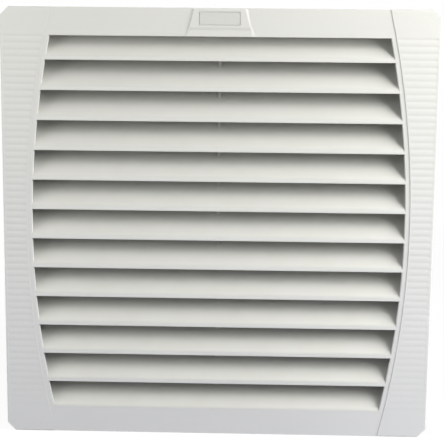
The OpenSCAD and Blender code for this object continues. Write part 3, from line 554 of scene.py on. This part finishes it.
# Studio
# Two tall softboxes stand at the right and a weaker one at the left, all above and in front, and one lights the
# back. The floor and the sky are white to the camera, the floor keeps the fan's shadow, and a grey net takes
# the glare off the right side.
def softbox(name, place, target, width, height, power, colour):
    """A rectangular area lamp at its place, turned to its target."""
    lamp = bpy.data.lights.new(name, "AREA")
    lamp.shape = "RECTANGLE"
    lamp.size = width
    lamp.size_y = height
    lamp.energy = power
    lamp.color = colour
    holder = bpy.data.objects.new(name, lamp)
    bpy.context.collection.objects.link(holder)
    holder.location = place
    aim = [b - a for a, b in zip(place, target)]
    level = math.hypot(aim[0], aim[1])
    holder.rotation_euler = (math.atan2(level, -aim[2]), 0, math.atan2(aim[1], aim[0]) - math.pi / 2)


cover_middle, fan_middle = (0, -0.02, 0), (0, 0.05, 0)
front_white, rear_white = (1.0, 1.0, 0.98), (1.0, 0.99, 0.97)
softbox("key_lamp", (0.78, -0.36, 0.47), cover_middle, width=0.6, height=0.85, power=15.0, colour=front_white)
softbox("near_lamp", (0.58, -0.28, 0.36), cover_middle, width=0.5, height=0.65, power=1.8, colour=front_white)
softbox("left_lamp", (-0.61, -0.32, 0.22), cover_middle, width=0.4, height=0.6, power=2.8, colour=front_white)
softbox("rear_lamp", (-0.7, 1.1, 0.7), fan_middle, width=0.8, height=0.8, power=10.0, colour=rear_white)


def seen_directly(tree):
    """1 for a ray from the camera or one that metal or glass sends on, 0 for one that only gives light."""
    rays = add(tree, "ShaderNodeLightPath").outputs
    sent_on = calc(tree, "MAXIMUM", rays["Is Glossy Ray"], rays["Is Transmission Ray"])
    return calc(tree, "MAXIMUM", rays["Is Camera Ray"], sent_on)


world = bpy.data.worlds.new("studio_sky")
bpy.context.scene.world = world
world.use_nodes = True
tree = world.node_tree
tree.nodes.clear()
fill = add(tree, "ShaderNodeBackground", {"Color": (0.93, 0.96, 1.0, 1), "Strength": 0.03})
white = add(tree, "ShaderNodeBackground", {"Color": (1, 1, 1, 1), "Strength": 1.0})
sky = add(tree, "ShaderNodeMixShader", {"Fac": seen_directly(tree), 1: fill.outputs[0], 2: white.outputs[0]})
add(tree, "ShaderNodeOutputWorld", {"Surface": sky.outputs[0]})


def bare_material(name):
    """A material without any nodes, and its tree."""
    material = bpy.data.materials.new(name)
    material.use_nodes = True
    material.node_tree.nodes.clear()
    return material, material.node_tree


# The paper of the floor glows white to the camera, all of it far away and most of it near the fan, where the
# rest shows the shadow. From below it is clear.
floor_gap = 0.0002
floor_size = 4
bpy.ops.mesh.primitive_plane_add(size=floor_size, location=(0, 0, cad_box[0][2] - floor_gap))
floor = bpy.context.view_layer.objects.active
floor.name = "floor"
paper, tree = bare_material("floor_paper")
seen = seen_directly(tree)
lit = add(tree, "ShaderNodeBsdfDiffuse",
          {"Color": mixed_colour(tree, seen, srgb(120, 120, 122), srgb(255, 255, 255))})
glow = add(tree, "ShaderNodeEmission", {"Color": (1, 1, 1, 1), "Strength": 1.0})
spot = add(tree, "ShaderNodeTexCoord").outputs["Object"]
away = add(tree, "ShaderNodeVectorMath", {0: spot}, operation="LENGTH").outputs["Value"]
share = calc(tree, "MULTIPLY", seen, ramp(tree, away, low=0.4, high=1.2, start=0.9, end=1.0))
paved = add(tree, "ShaderNodeMixShader", {"Fac": share, 1: lit.outputs[0], 2: glow.outputs[0]})
below = add(tree, "ShaderNodeNewGeometry").outputs["Backfacing"]
clear = add(tree, "ShaderNodeBsdfTransparent")
laid = add(tree, "ShaderNodeMixShader", {"Fac": below, 1: paved.outputs[0], 2: clear.outputs[0]})
add(tree, "ShaderNodeOutputMaterial", {"Surface": laid.outputs[0]})
floor.data.materials.append(paper)

# The net stands close to the right side, where the camera doesn't see it, and dims the lamps at the right for
# what lies behind it, as a photographer's flag does.
net_x = 0.172
net_reach = (-0.0255, 0.2)
net_rise = (cad_box[0][2], 0.17)
bpy.ops.mesh.primitive_plane_add(
    size=1, location=(net_x, sum(net_reach) / 2, sum(net_rise) / 2), rotation=(0, math.radians(90), 0))
net = bpy.context.view_layer.objects.active
net.name = "glare_net"
net.scale = (net_rise[1] - net_rise[0], net_reach[1] - net_reach[0], 1)
gauze, tree = bare_material("net_grey")
veil = add(tree, "ShaderNodeBsdfTransparent", {"Color": (0.42, 0.42, 0.42, 1)})
add(tree, "ShaderNodeOutputMaterial", {"Surface": veil.outputs[0]})
net.data.materials.append(gauze)
net.visible_camera = net.visible_diffuse = net.visible_glossy = net.visible_transmission = False

lens = bpy.data.cameras.new("photo_camera")
lens.sensor_width = 36
lens.lens = 82.98
camera = bpy.data.objects.new("photo_camera", lens)
bpy.context.collection.objects.link(camera)
camera.location = (0.01906, -0.78440, 0.11652)
camera.rotation_euler = (math.radians(81.577), math.radians(-0.618), math.radians(1.289))
bpy.context.scene.camera = camera
bpy.context.scene.view_settings.view_transform = "Standard"
